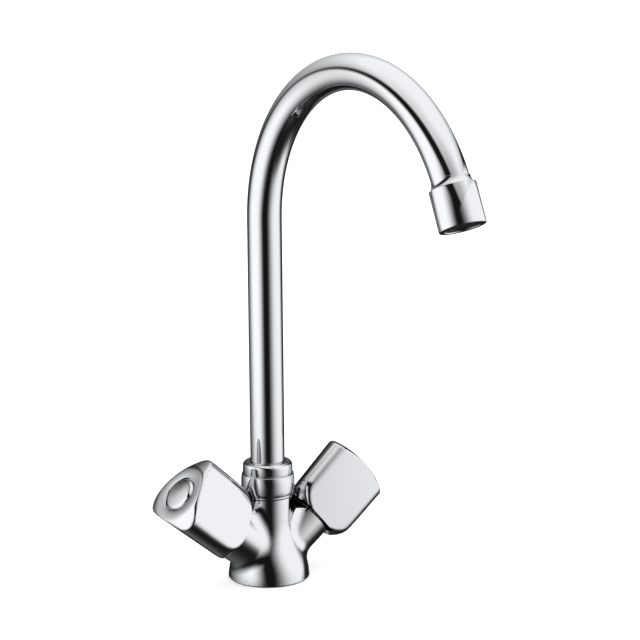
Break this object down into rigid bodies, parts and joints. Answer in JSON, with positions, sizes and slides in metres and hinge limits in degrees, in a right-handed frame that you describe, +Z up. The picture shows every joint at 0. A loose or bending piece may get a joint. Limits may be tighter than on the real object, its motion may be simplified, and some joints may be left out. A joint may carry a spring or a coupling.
{
  "type": "two handle kitchen faucet",
  "caption": "Two handle deck-mounted kitchen faucet with a swivelling swan-neck spout, slanted arms, three-lobed handles and screw-down valves.",
  "frame": {"origin": "centre of the foot's underside, on the deck", "axes": "+Z up, -Y towards the outlet, -X the hot side, +X the cold side"},
  "size_m": [0.1436, 0.2164, 0.3126],
  "materials": {
    "chrome": "bright chrome plate",
    "brass": "machined",
    "rubber": "moulded",
    "plastic": "moulded acetal",
    "steel": "zinc plated",
    "screen": "moulded acetal"
  },
  "bodies": {
    "root": {"faucet_body": "chrome", "base_seal_ring": "rubber", "nut_washer": "chrome", "spout_nut": "chrome", "lower_slide_ring": "plastic", "upper_slide_ring": "plastic", "hot_headwork_housing": "brass", "hot_headwork_seal": "plastic", "cold_headwork_housing": "brass", "cold_headwork_seal": "plastic"},
    "spout": {"spout_foot": "brass", "foot_seals": "rubber", "spout_tube": "chrome", "outlet_socket": "chrome", "aerator_shell": "chrome", "aerator_gasket": "rubber", "aerator_insert": "screen", "aerator_screen": "screen"},
    "hot_handle": {"hot_spindle": "brass", "hot_spindle_seal": "rubber", "hot_spindle_clip": "steel", "hot_handle_shell": "chrome", "hot_handle_insert": "plastic", "hot_handle_screw": "steel", "hot_handle_button": "chrome"},
    "hot_valve": {"hot_valve_carrier": "brass", "hot_valve_washer": "rubber", "hot_washer_screw": "brass"},
    "cold_handle": {"cold_spindle": "brass", "cold_spindle_seal": "rubber", "cold_spindle_clip": "steel", "cold_handle_shell": "chrome", "cold_handle_insert": "plastic", "cold_handle_screw": "steel", "cold_handle_button": "chrome"},
    "cold_valve": {"cold_valve_carrier": "brass", "cold_valve_washer": "rubber", "cold_washer_screw": "brass"}
  },
  "joints": [
    {"name": "spout_swivel", "type": "hinge", "parent": "root", "child": "spout", "pos_m": [0, 0, 0.0609], "axis": [0, 0, 1], "continuous": true},
    {"name": "hot_handle_turn", "type": "hinge", "parent": "root", "child": "hot_handle", "pos_m": [0, 0, 0.0097], "axis": [-0.766, 0, 0.6428], "range_deg": [0, 630]},
    {"name": "hot_washer_lift", "type": "slide", "parent": "root", "child": "hot_valve", "axis": [-0.766, 0, 0.6428], "range_m": [0, 0.0043]},
    {"name": "cold_handle_turn", "type": "hinge", "parent": "root", "child": "cold_handle", "pos_m": [0, 0, 0.0097], "axis": [0.766, 0, 0.6428], "range_deg": [0, 630]},
    {"name": "cold_washer_lift", "type": "slide", "parent": "root", "child": "cold_valve", "axis": [0.766, 0, 0.6428], "range_m": [0, 0.0043]}
  ],
  "couplings": [
    {"joint": "hot_washer_lift", "follows": "hot_handle_turn", "m_per_rad": 0.00038197},
    {"joint": "cold_washer_lift", "follows": "cold_handle_turn", "m_per_rad": 0.00038197}
  ]
}
